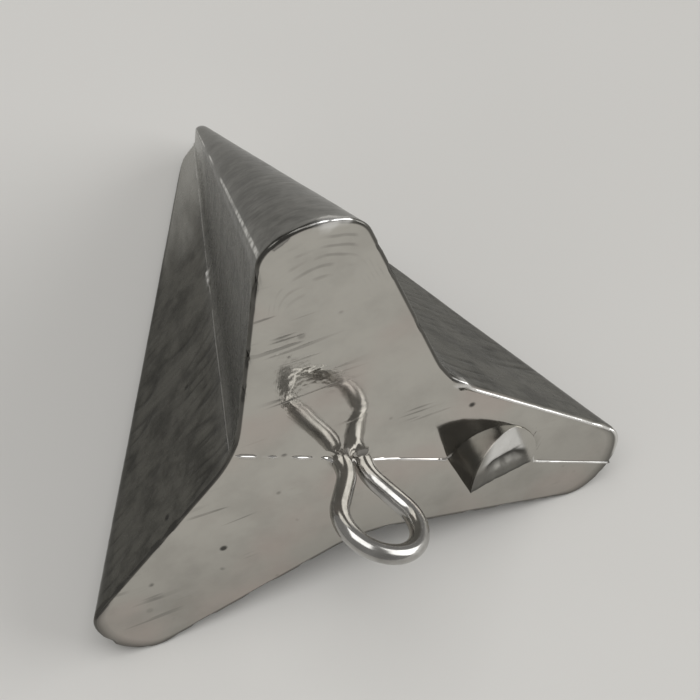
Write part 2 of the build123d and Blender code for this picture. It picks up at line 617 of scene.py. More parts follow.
            # The rounding leaves the straight ridge and comes in level with the end
            done = row / self.tip_rows
            left = 1.0 - done
            new_share = (
                left * left * start_share + 2 * left * done * self.corner_share + done * done * end_share
            )
            new_level = self.height - self.tip_rounding * left * left
            loop = self._draw_in(bm, loop, new_share / share, new_level - level)
            share, level = new_share, new_level
        bmesh.ops.edgeloop_fill(bm, edges=loop)

    def _close_base(self, bm: bmesh.types.BMesh, rim: list) -> None:
        """Round the rim over onto the base, then close it with rings drawn in towards the axis.

        Args:
            bm: Mesh that is drawn in.
            rim: Edges of the outline on the base.
        """
        layer = bm.verts.layers.float[Draft.SHARE.value]
        cap = bmesh.ops.edgeloop_fill(bm, edges=rim)["faces"]
        cap[0].normal_update()
        if cap[0].normal.z > 0.0:
            cap[0].normal_flip()
        turns = [math.pi / 2 * step / self.rim_steps for step in range(self.rim_steps + 1)]
        for low, high in zip(turns, turns[1:]):
            bmesh.ops.inset_region(
                bm, faces=cap, use_even_offset=True,
                thickness=self.rim_rounding * (math.cos(low) - math.cos(high)),
                depth=self.rim_rounding * (math.sin(high) - math.sin(low)),
            )
        bmesh.ops.inset_region(bm, faces=cap, thickness=self.rim_border, use_even_offset=True)
        loop = list(cap[0].edges)
        for vert in cap[0].verts:
            vert[layer] = BORDER_SHARE
        bmesh.ops.delete(bm, geom=cap, context="FACES_ONLY")
        last = 1.0
        for ring in range(self.base_rings + 1):
            share = FIRST_RING_SHARE * (1.0 - ring / (self.base_rings + 1))
            loop = self._draw_in(bm, loop, share / last, 0.0)
            for edge in loop:
                for vert in edge.verts:
                    vert[layer] = share * BORDER_SHARE
            last = share
        bmesh.ops.edgeloop_fill(bm, edges=loop)

    def _cut_seam_lines(self, bm: bmesh.types.BMesh) -> None:
        """Cut lines beside the mould seam, so that its fin can stand up between them.

        Args:
            bm: Mesh that is cut.
        """
        reach = self.seam_width * SEAM_CUT_REACH
        for offset in SEAM_CUTS:
            near = [vert for vert in bm.verts if abs(vert.co.dot(SEAM_NORMAL)) < reach]
            edges = {edge for vert in near for edge in vert.link_edges}
            faces = {face for vert in near for face in vert.link_faces}
            verts = {vert for face in faces for vert in face.verts}
            bmesh.ops.bisect_plane(
                bm, geom=[*verts, *edges, *faces], dist=WELD,
                plane_co=SEAM_NORMAL * (offset * self.seam_width / 2), plane_no=SEAM_NORMAL,
            )

    def _gate_place(self, place: Vector) -> tuple[float, float]:
        """Place on the base in the gate's frame: along its wing, and from the seam towards the stub."""
        return place.dot(GATE_WING) - self.gate_reach, place.dot(SEAM_NORMAL)

    def _open_base(self, bm: bmesh.types.BMesh) -> list:
        """Open the base where the gate stub stands.

        Args:
            bm: Mesh that is drawn in.

        Returns:
            The edges round the opening.
        """
        spare = self.gate_radius * self.gate_spare
        opened = []
        for face in bm.faces:
            centre = face.calc_center_median()
            along, off = self._gate_place(centre)
            within = off > -spare and math.hypot(along, max(off, 0.0)) < self.gate_radius + spare
            if within and abs(centre.z) < WELD:
                opened.append(face)
        gone = set(opened)
        border = [e for f in opened for e in f.edges if any(g not in gone for g in e.link_faces)]
        bmesh.ops.delete(bm, geom=opened, context="FACES")
        return border

    def _trace_footing(self, bm: bmesh.types.BMesh) -> list:
        """Trace the half-round footing of the gate stub on the base.

        Args:
            bm: Mesh that is drawn in.

        Returns:
            The edges of the closed footing.
        """
        lift = bm.verts.layers.float[Draft.LIFT.value]
        footing = bm.verts.layers.float_vector[Draft.FOOTING.value]
        start = GATE_WING * (self.gate_reach - self.gate_radius)
        first = bm.verts.new(start)
        first[lift] = -1.0
        tracer = Tracer(bm, [first], start, GATE_WING, UP)
        tracer.ahead(2 * self.gate_radius, self.gate_side_steps)
        tracer.face(SEAM_NORMAL)
        tracer.bend(self.gate_radius, math.pi, Bend.RIGHT, self.gate_arc_steps)
        traced = [vert for vert in bm.verts if vert[lift] < 0.0]
        bmesh.ops.remove_doubles(bm, verts=traced, dist=WELD * 10)
        loop = [edge for edge in bm.edges if all(vert[lift] < 0.0 for vert in edge.verts)]
        for vert in {vert for edge in loop for vert in edge.verts}:
            vert[footing] = Vector((*self._gate_place(vert.co), 0.0))
            vert[lift] = WELD
        return loop

    def _raise_stub(self, bm: bmesh.types.BMesh) -> None:
        """Raise the half-round gate stub from the base, torn off at a slant.

        Args:
            bm: Mesh that is drawn in.
        """
        border = self._open_base(bm)
        loop = self._trace_footing(bm)
        bmesh.ops.bridge_loops(bm, edges=[*border, *loop])
        for row in range(1, self.stub_rows + 1):
            loop = self._lift_loop(bm, loop, 1.0, row / self.stub_rows)
        for ring in range(1, self.stub_rings):
            loop = self._lift_loop(bm, loop, 1.0 - ring / self.stub_rings, 1.0)
        bmesh.ops.edgeloop_fill(bm, edges=loop)

    def _lift_loop(self, bm: bmesh.types.BMesh, loop: list, spread: float, share: float) -> list:
        """Extrude a loop of the stub and set the copy in its place.

        Args:
            bm: Mesh that is drawn in.
            loop: Edges that are extruded.
            spread: Size of the copy against the footing.
            share: Share of the stub's height that the copy lies at.

        Returns:
            The edges of the copy.
        """
        lift = bm.verts.layers.float[Draft.LIFT.value]
        torn = bm.verts.layers.float[Skin.TORN.value]
        footing = bm.verts.layers.float_vector[Draft.FOOTING.value]
        middle = Vector((0.0, HALF_ROUND_MIDDLE * self.gate_radius, 0.0))
        made = bmesh.ops.extrude_edge_only(bm, edges=loop)["geom"]
        for vert in verts_of(made):
            vert.co = self._stub_place(middle + (vert[footing] - middle) * spread, share)
            vert[lift] = share
            vert[torn] = self.torn_top.at(share)
        return edges_of(made)

    def _torn_across(self, along: float, off: float) -> float:
        """Share of the way over the torn face, from its high corner to where it comes down to the base."""
        return (along + self.gate_lean * off + self.gate_radius) / (2 * self.gate_radius)

    def _torn_step(self, along: float, off: float) -> float:
        """Depth share of the step that runs over the torn face beside the seam."""
        line = math.exp(-((off - self.gate_step) / self.gate_step_width) ** 2)
        return line * self.gate_step_start.at(along / self.gate_radius)

    def _stub_place(self, foot: Vector, share: float) -> Vector:
        """Place on the stub over a point of its footing, at a share of the torn face's height.

        Args:
            foot: Place on the footing, along the wing and from the seam.
            share: Share of the torn face's height.

        Returns:
            The place in the casting's frame.
        """
        across = min(self._torn_across(foot.x, foot.y), 1.0)
        height = self.gate_inner_height + (self.gate_outer_height - self.gate_inner_height) * across
        height -= self.gate_dish * self._torn_step(foot.x, foot.y)
        height = max(height, self.gate_outer_height) * share
        fit = 1.0 - height * math.tan(self.gate_draft) / self.gate_radius
        return GATE_WING * (self.gate_reach + foot.x * fit) + SEAM_NORMAL * (foot.y * fit) - UP * height

    def _weather(self, bm: bmesh.types.BMesh) -> None:
        """Give each part of the skin its relief, and note what the finish reads.

        Args:
            bm: The modelled casting, with normals.
        """
        marks = {mark: bm.verts.layers.float[mark.value] for mark in Skin}
        drafts = {draft: bm.verts.layers.float[draft.value] for draft in PLAIN_DRAFTS}
        rim_top = self.rim_rounding * RIM_SLACK
        moves = []
        for vert in bm.verts:
            share = vert[drafts[Draft.SHARE]]
            vert[marks[Skin.SHOULDER_GAP]] = FAR
            outward = vert.normal
            if vert[drafts[Draft.LIFT]] > 0.0:
                move = self._stub_relief(vert, marks)
            elif vert.co.z > rim_top:
                move = self._side_relief(vert, vert[drafts[Draft.CORNER]], marks)
            elif share > RIM_SHARE:
                outward = self._rim_outward(vert)
                move = self._rim_relief(vert, outward, marks)
            else:
                outward = -UP
                move = self._base_relief(vert, share, marks)
            # Painted highlight on beads and painted shade in nicks
            fault = sum(fault.at(vert.co) for fault in self.faults)
            vert[marks[Skin.PAINTED_GLINT]] = max(vert[marks[Skin.PAINTED_GLINT]], self.bead_shine.at(fault))
            vert[marks[Skin.PAINTED_SHADE]] = max(vert[marks[Skin.PAINTED_SHADE]], self.nick_shade.at(-fault))
            moves.append((vert, move + outward * fault))
        for vert, move in moves:
            vert.co += move

    def _seam_fin(self, place: Vector) -> float:
        """Work out the mould seam's fin, whole on the gate's side and broken on the other.

        Args:
            place: Place on the casting.

        Returns:
            The height of the fin there.
        """
        off = abs(place.dot(SEAM_NORMAL)) / (self.seam_width / 2)
        if off >= 1.0:
            return 0.0
        along = place.dot(GATE_WING)
        unrolled = Vector((along, place.z, 0.0))
        broken, fine = self.seam_break.at(unrolled), self.seam_grain.at(unrolled)
        height = 0.9 + 0.2 * broken if along > 0.0 else 1.05 * self.seam_gaps.at(broken)
        faded = self.seam_far_share if place.z > self.rim_rounding and along < 0.0 else 1.0
        return (1.0 - off) * self.seam_height * faded * max(0.0, height + fine)

    def _chill(self, place: Vector) -> float:
        """Work out the chill lines that run across the flutes, parallel to the base.

        Args:
            place: Place on a side.

        Returns:
            The share of the lines' depth there.
        """
        line = self.chill_long.at(place, UP * self.chill_drift.at(place))
        fine = self.chill_short.at(place, Vector())
        return line ** 1.4 * self.chill_cover.at(self.chill_patch.at(place)) + 0.35 * fine * fine

    def _side_relief(self, vert: bmesh.types.BMVert, corner: float, marks: dict) -> Vector:
        """Shape a moulded side: chill lines, slow swell, pebbled patches and the seam.

        Args:
            vert: Point on the side.
            corner: Gap to the middle of the wing's shoulder, in shoulder radii.
            marks: Layers of what the finish reads.

        Returns:
            The move of the point.
        """
        place = vert.co
        section = max(self.section_share(place.z), self.corner_share)
        reach = math.hypot(place.x, place.y) / (section * self.wing_reach)
        ridge = self.ridge_start.at(reach)
        groove_and_shade = self._chill(place) * (1.0 - 0.8 * ridge) * (1.0 - self.chill_fade.at(place.z))
        pebbled = self.pebble_cover.at(self.pebble_patch.at(place)) * (1.0 - self.pebble_fade.at(place.z))
        pebble = self.pebble.at(place) * pebbled * (1.0 - ridge)
        fin = self._seam_fin(place) * self.seam_side_share
        # Painted highlight along the seam's fin, and painted shade in the chill lines
        note(vert, marks, {
            Skin.RIDGE: ridge,
            Skin.SHOULDER_GAP: corner if reach > self.shoulder_start else FAR,
            Skin.PAINTED_SHADE: min(groove_and_shade, 1.0),
            Skin.PAINTED_GLINT: min(1.0, fin / self.seam_height * 1.5),
        })
        swell = self.side_swell.at(place) + self.side_ripple.at(place)
        return vert.normal * (swell + pebble + fin - groove_and_shade * self.chill_depth)

    def _lip(self, place: Vector) -> float:
        """Work out the thin flash that stands up along the base's edge.

        Args:
            place: Place on the edge.

        Returns:
            The height of the flash there.
        """
        flat = Vector((place.x, place.y, 0.0))
        along, off = place.dot(GATE_WING), place.dot(SEAM_NORMAL)
        gate_edge = self.lip_along.at(along) * self.lip_off.at(off)
        uneven = self.lip_swell.at(flat) + (0.3 - 0.17 * gate_edge) * self.lip_rag.at(flat)
        return self.lip_height * max(0.0, gate_edge - 0.05 + uneven)

    def _rim_outward(self, vert: bmesh.types.BMVert) -> Vector:
        """Direction that moves the whole rounding of the rim out from the side and from the base alike."""
        flat = Vector((vert.normal.x, vert.normal.y, 0.0))
        return flat.normalized() - UP

    def _rim_relief(self, vert: bmesh.types.BMVert, outward: Vector, marks: dict) -> Vector:
        """Shape the base's rounded edge: flash standing up, chips knocked in, and the seam's end.

        Args:
            vert: Point on the edge.
            outward: Direction out from the edge.
            marks: Layers of what the finish reads.

        Returns:
            The move of the point.
        """
        place = vert.co
        lip = self._lip(place)
        knocked = self.chip_spread.at(Vector((place.x, place.y, 0.0)))
        chip = self.chip_depth * self.chip_cover.at(knocked)
        flash = self.lip_shine.at(lip / self.lip_height)
        # Painted highlight on the flash; painted shade in chips and on the bare rim, which also takes less
        # of the base's colour
        note(vert, marks, {
            Skin.OPEN_FACE: 0.15 + 0.45 * flash,
            Skin.RIDGE: 0.5,
            Skin.BASE_RING: 1.0,
            Skin.PAINTED_GLINT: flash * (1.0 - self.rim_fade.at(place.z / self.rim_rounding)),
            Skin.PAINTED_SHADE: max(0.6 * self.chip_shade.at(chip), 0.5 * (1.0 - flash)),
        })
        return outward * (self.seam_side_share * self._seam_fin(place) - chip) - UP * lip

    def _collar(self, place: Vector) -> float:
        """Work out the collar of lead that stands up round the wire's legs.

        Args:
            place: Place on the base.

        Returns:
            The height of the collar there.
        """
        legs = [(place - GATE_WING * (LEG_OFFSET * side)).length for side in (-1.0, 1.0)]
        gap = max(min(legs) - WIRE_RADIUS, 0.0)
        ragged = 0.6 + self.collar_rag.at(place)
        return self.collar_height * ragged * math.exp(-gap / self.collar_reach)

    def _low_edge_shade(self, place: Vector, share: float) -> float:
        """Work out the painted shade along the edges that lie towards the floor, a dark border.

        Args:
            place: Place on the base.
            share: Share of the outline that the place lies at.

        Returns:
            The share of the painted shade there.
        """
        under = self.low_side.at(-(place.y + abs(place.x) / math.tan(HALF_PITCH)))
        end = self.low_end.at(place.length)
        border = max(self.border_line.at(share) * max(under, end), 0.6 * self.border_fade.at(share) * end)
        return border * self.low_wings.at(-place.y)

    def _base_relief(self, vert: bmesh.types.BMVert, share: float, marks: dict) -> Vector:
        """Shape the open base: slow waves, shrink arcs, the seam and the collar round the wire.

        Args:
            vert: Point on the base.
            share: Share of the outline that the point lies at.
            marks: Layers of what the finish reads.

        Returns:
            The move of the point.
        """
        place = vert.co
        arcs = self.arc_start.at(place.y) * math.sin(share * self.arc_count) * self.arc_height
        arcs *= self.arc_cover.at(self.arc_patch.at(place))
        arcs *= self.arc_inner.at(share) * (1.0 - self.arc_outer.at(share))
        fin = self._seam_fin(place)
        collar = self._collar(place)
        # Painted highlight along the seam's fin; painted shade round the collar and along the floor-side
        # edges
        note(vert, marks, {
            Skin.OPEN_FACE: 1.0,
            Skin.BASE_RING: share,
            Skin.PAINTED_GLINT: min(1.0, fin / self.seam_height * 1.4),
            Skin.PAINTED_SHADE: max(0.5 * self.collar_shade.at(collar), 0.75 * self._low_edge_shade(place, share)),
            Skin.SCUFF: min(1.0, sum(scuff.at(place) for scuff in self.scuffs)),
        })
        return UP * -(self.base_swell.at(place) + self.base_ripple.at(place) + arcs + fin + collar)

    def _stub_relief(self, vert: bmesh.types.BMVert, marks: dict) -> Vector:
        """Shape the gate stub: a torn, coarse end and scored walls, with painted shade and a painted
        highlight on it.

        Args:
            vert: Point on the stub.
            marks: Layers of what the finish reads.

        Returns:
            The move of the point.
        """
        place = vert.co
        torn = vert[marks[Skin.TORN]]
        along, off = self._gate_place(place)
        past_step = off - self.gate_step
        flush = self.torn_flush.at(self._torn_across(along, off))
        # Painted highlight on the torn face's upper facet, which also takes more of the base's colour;
        # painted shade in the step, along the lower edge, on the lower facet and on the walls
        upper = self.torn_upper.at(past_step) * self.torn_upper_start.at(along / self.gate_radius)
        lower = 1.0 - self.torn_lower.at(past_step)
        edge = 1.0 - self.torn_edge.at(off)
        shade = max(self._torn_step(along, off), 0.8 * edge, 0.3 * lower)
        dark = shade * torn + 0.3 * (1.0 - torn)
        note(vert, marks, {
            Skin.OPEN_FACE: max(0.2 + 0.2 * torn * (1.0 - lower), flush),
            Skin.PAINTED_GLINT: upper * torn * (1.0 - flush),
            Skin.PAINTED_SHADE: dark * (1.0 - flush),
        })
        coarse = self.torn_coarse.at(place) + self.torn_fine.at(place)
        return vert.normal * (coarse * (0.4 + 0.6 * torn))


@dataclass
class WireEye:
    """The eye: one length of wire, a teardrop bow outside and two legs held in the lead."""

    radius: float = WIRE_RADIUS
    taper: float = math.radians(31.0)
    neck_radius: float = 0.0036
    leg_depth: float = 0.015
    foot_length: float = 0.0046
    foot_angle: float = math.radians(25.0)
    foot_bend_radius: float = 0.0024
    dent: Wave = Wave(0.0021, 0.000012)
    fine_dent: Wave = Wave(0.0008, 0.000004)
    sides: int = 40
    step: float = 0.0003

    def build(self, pose: Matrix) -> bpy.types.Object:
        """Bend the wire and lay it down with the casting.

        Args:
            pose: Matrix from the casting's frame to the shared frame.

        Returns:
            The finished piece.
        """
        bm = bmesh.new()
        drawn = bm.verts.layers.float_vector.new(OWN_PLACE)
        self._bend_wire(bm, drawn)
        bmesh.ops.recalc_face_normals(bm, faces=bm.faces)
        bm.normal_update()
        for vert in bm.verts:
            vert.co += vert.normal * (self.dent.at(vert.co) + self.fine_dent.at(vert.co))
        for face in bm.faces:
            face.smooth = len(face.verts) <= 4
        bmesh.ops.transform(bm, matrix=pose, verts=bm.verts)
        return finish_piece(bm, "bent_wire_eye", "wire_eye")

    def dress(self, piece: bpy.types.Object, finish: "SteelWireFinish") -> None:
        """Give the built wire its finish."""
        piece.data.materials.append(finish.material())

    def _steps(self, length: float) -> int:
        """Number of rings on a stretch."""
        return max(2, round(length / self.step))

    def _bend_wire(self, bm: bmesh.types.BMesh, drawn: bmesh.types.BMLayerItem) -> None:
        """Draw the wire from one foot round the bow to the other foot.

        Args:
            bm: Mesh that is drawn in.
            drawn: Layer with each point's place on the straight wire.
        """
        bow_radius = EYE_OUTER_WIDTH / 2 - self.radius
        bow_centre = EYE_PROJECTION - EYE_OUTER_WIDTH / 2
        tangent_across = bow_radius * math.cos(self.taper)
        tangent_out = bow_centre - bow_radius * math.sin(self.taper)
        neck_out = tangent_out - (tangent_across - LEG_OFFSET) / math.tan(self.taper)
        neck_trim = self.neck_radius * math.tan(self.taper / 2)
        foot_trim = self.foot_bend_radius * math.tan(self.foot_angle / 2)
        foot = self.foot_length - foot_trim
        leg = self.leg_depth + neck_out - foot_trim - neck_trim
        taper = math.hypot(tangent_across - LEG_OFFSET, tangent_out - neck_out) - neck_trim

        heading = -UP * math.cos(self.foot_angle) - GATE_WING * math.sin(self.foot_angle)
        start = GATE_WING * LEG_OFFSET + UP * self.leg_depth - heading * self.foot_length
        normal = UP.cross(GATE_WING)
        ring = bmesh.ops.create_circle(
            bm, segments=self.sides, radius=self.radius,
            matrix=Matrix.Translation(start) @ heading.to_track_quat("Z", "Y").to_matrix().to_4x4(),
        )["verts"]
        for index, vert in enumerate(ring):
            angle = 2 * math.pi * index / self.sides
            vert[drawn] = Vector((math.cos(angle), math.sin(angle), 0.0)) * self.radius
        first = list(bm.edges)
        tracer = TubeTracer(bm, [*ring, *first], start, heading, normal)
        bow_turn = math.pi + 2 * self.taper
        stretches = (
            (foot, self.foot_bend_radius, self.foot_angle, Bend.RIGHT),
            (leg, self.neck_radius, self.taper, Bend.RIGHT),
            (taper, bow_radius, bow_turn, Bend.LEFT),
            (taper, self.neck_radius, self.taper, Bend.RIGHT),
            (leg, self.foot_bend_radius, self.foot_angle, Bend.RIGHT),
        )
        for straight, bend_radius, angle, side in stretches:
            tracer.ahead(straight, self._steps(straight))
            tracer.bend(bend_radius, angle, side, self._steps(bend_radius * angle))
        tracer.ahead(foot, self._steps(foot))
        for edges in (first, edges_of(tracer.section)):
            bmesh.ops.edgeloop_fill(bm, edges=edges)
        log.info("wire traced over %.2f mm", tracer.travelled * 1000)


class NodeSketch:
    """Short forms for adding and linking nodes in one tree."""

    def __init__(self, tree: bpy.types.NodeTree) -> None:
        """Take up a tree."""
        self.tree = tree

    def feed(self, socket: bpy.types.NodeSocket, value: object) -> None:
        """Link a socket to another, or set its value.

        Args:
            socket: Socket that is fed.
            value: Another socket, or a plain value.
        """
        if isinstance(value, bpy.types.NodeSocket):
            self.tree.links.new(value, socket)
        else:
            socket.default_value = value

    def add(self, kind: str, inputs: dict | None = None, **settings: object) -> bpy.types.Node:
        """Add a node.

        Args:
            kind: Node type without its ShaderNode prefix.
            inputs: Values or sockets for its inputs, by name or number.
            settings: Properties of the node.

        Returns:
            The new node.
        """
        node = self.tree.nodes.new("ShaderNode" + kind)
        for name, value in settings.items():
            setattr(node, name, value)
        for name, value in (inputs or {}).items():
            self.feed(node.inputs[name], value)
        return node

    def math(self, operation: str, *values: object, clamp: bool = False) -> bpy.types.NodeSocket:
        """Add a Math node and return its result."""
        node = self.add("Math", dict(enumerate(values)), operation=operation, use_clamp=clamp)
        return node.outputs[0]

    def times(self, first: object, *others: object) -> object:
        """Multiply values.

        Args:
            first: First value or socket.
            others: Further values or sockets.

        Returns:
            The product.
        """
        for value in others:
            first = self.math("MULTIPLY", first, value)
        return first

    def mix(self, factor: object, first: object, second: object) -> bpy.types.NodeSocket:
        """Add a colour Mix node and return its result."""
        return self.add("Mix", {0: factor, 6: first, 7: second}, data_type="RGBA").outputs[2]

    def span(
        self, value: object, low: float, high: float, to_low: float = 0.0, to_high: float = 1.0
    ) -> bpy.types.NodeSocket:
        """Map a span of values smoothly onto another span."""
        inputs = {0: value, 1: low, 2: high, 3: to_low, 4: to_high}
        return self.add("MapRange", inputs, interpolation_type="SMOOTHSTEP").outputs[0]

    def noise(
        self, vector: object, scale: object, detail: float, rough: float = 0.5
    ) -> bpy.types.NodeSocket:
        """Add a noise texture and return its value."""
        inputs = {"Vector": vector, "Scale": scale, "Detail": detail, "Roughness": rough}
        return self.add("TexNoise", inputs).outputs[0]

    def mark(self, name: str) -> bpy.types.NodeSocket:
        """Read a point attribute as a value."""
        return self.add("Attribute", attribute_name=name, attribute_type="GEOMETRY").outputs["Fac"]

    def own_place(self) -> bpy.types.NodeSocket:
        """Read the piece's own place as a vector."""
        return self.add("Attribute", attribute_name=OWN_PLACE, attribute_type="GEOMETRY").outputs["Vector"]

    def stretch(self, vector: object, turn: tuple, scale: tuple) -> bpy.types.NodeSocket:
        """Turn and scale a texture's coordinates."""
        return self.add("Mapping", {"Vector": vector, "Rotation": turn, "Scale": scale}).outputs[0]


def new_group(
    name: str, inputs: dict, outputs: tuple
) -> tuple[bpy.types.NodeTree, NodeSketch, dict, bpy.types.Node]:
    """Start a shader node group.

    Args:
        name: Name of the group.
        inputs: Socket type of each input, by name.
        outputs: Names of its value outputs.

    Returns:
        The tree, a sketch of it, its input sockets by name and its output node.
    """
    tree = bpy.data.node_groups.new(name, "ShaderNodeTree")
    for socket, kind in inputs.items():
        tree.interface.new_socket(socket, in_out="INPUT", socket_type=kind)
    for socket in outputs:
        tree.interface.new_socket(socket, in_out="OUTPUT", socket_type="NodeSocketFloat")
    taken = {socket.name: socket for socket in tree.nodes.new("NodeGroupInput").outputs if socket.name}
    return tree, NodeSketch(tree), taken, tree.nodes.new("NodeGroupOutput")


def oxide_bloom() -> bpy.types.NodeTree:
    """Group for the patchy film on bare metal: a dull bloom and a faint warm blush.

    Returns:
        The group, built once.
    """
    found = bpy.data.node_groups.get("oxide_bloom")
    if found:
        return found
    inputs = {"Vector": "NodeSocketVector", "Scale": "NodeSocketFloat"}
    tree, sketch, taken, result = new_group("oxide_bloom", inputs, ("Bloom", "Blush"))
    cloud = sketch.noise(taken["Vector"], taken["Scale"], 4.0, 0.6)
    shifted = sketch.add("VectorMath", {0: taken["Vector"], 1: (0.37, 0.11, 0.23)}, operation="ADD")
    warm = sketch.noise(shifted.outputs[0], sketch.times(taken["Scale"], 0.55), 2.0)
    sketch.feed(result.inputs["Bloom"], sketch.span(cloud, 0.38, 0.72))
    sketch.feed(result.inputs["Blush"], sketch.span(warm, 0.45, 0.7))
    return tree


def handling_scratches() -> bpy.types.NodeTree:
    """Group for short straight scratches in three directions, in patches and where they are gathered.

    Returns:
        The group, built once.
    """
    found = bpy.data.node_groups.get("handling_scratches")
    if found:
        return found
    inputs = {
        "Vector": "NodeSocketVector", "Scale": "NodeSocketFloat",
        "Patch": "NodeSocketFloat", "Gather": "NodeSocketFloat",
    }
    tree, sketch, taken, result = new_group("handling_scratches", inputs, ("Scratch",))
    total = 0.0
    for turn in (0.25, -0.6, 1.2):
        drawn_out = sketch.stretch(taken["Vector"], (0.0, 0.0, turn), (0.08, 1.0, 1.0))
        stroke = sketch.span(sketch.noise(drawn_out, taken["Scale"], 1.0), 0.66, 0.7)
        total = sketch.math("MAXIMUM", total, stroke)
    patch = sketch.span(sketch.noise(taken["Vector"], taken["Patch"], 2.0), 0.56, 0.7)
    gathered = sketch.math("MAXIMUM", sketch.times(patch, 0.7), taken["Gather"])
    sketch.feed(result.inputs["Scratch"], sketch.times(total, gathered))
    return tree


def new_material(name: str) -> tuple[bpy.types.Material, NodeSketch, bpy.types.Node]:
    """Start a material.

    Args:
        name: Name of the material.

    Returns:
        The material, a sketch of its tree and its Principled shader.
    """
    material = bpy.data.materials.new(name)
    material.use_nodes = True
    tree = material.node_tree
    tree.nodes.clear()
    sketch = NodeSketch(tree)
    shader = sketch.add("BsdfPrincipled")
    output = sketch.add("OutputMaterial")
    sketch.feed(output.inputs["Surface"], shader.outputs["BSDF"])
    return material, sketch, shader


@dataclass(frozen=True)
class LeadMasks:
    """Sockets that the parts of the lead's shader share."""

    where: bpy.types.NodeSocket
    up_wing: bpy.types.NodeSocket
    level: bpy.types.NodeSocket
    skin: dict
    bloom: bpy.types.NodeSocket
    blush: bpy.types.NodeSocket
    scratch: bpy.types.NodeSocket
    pit: bpy.types.NodeSocket


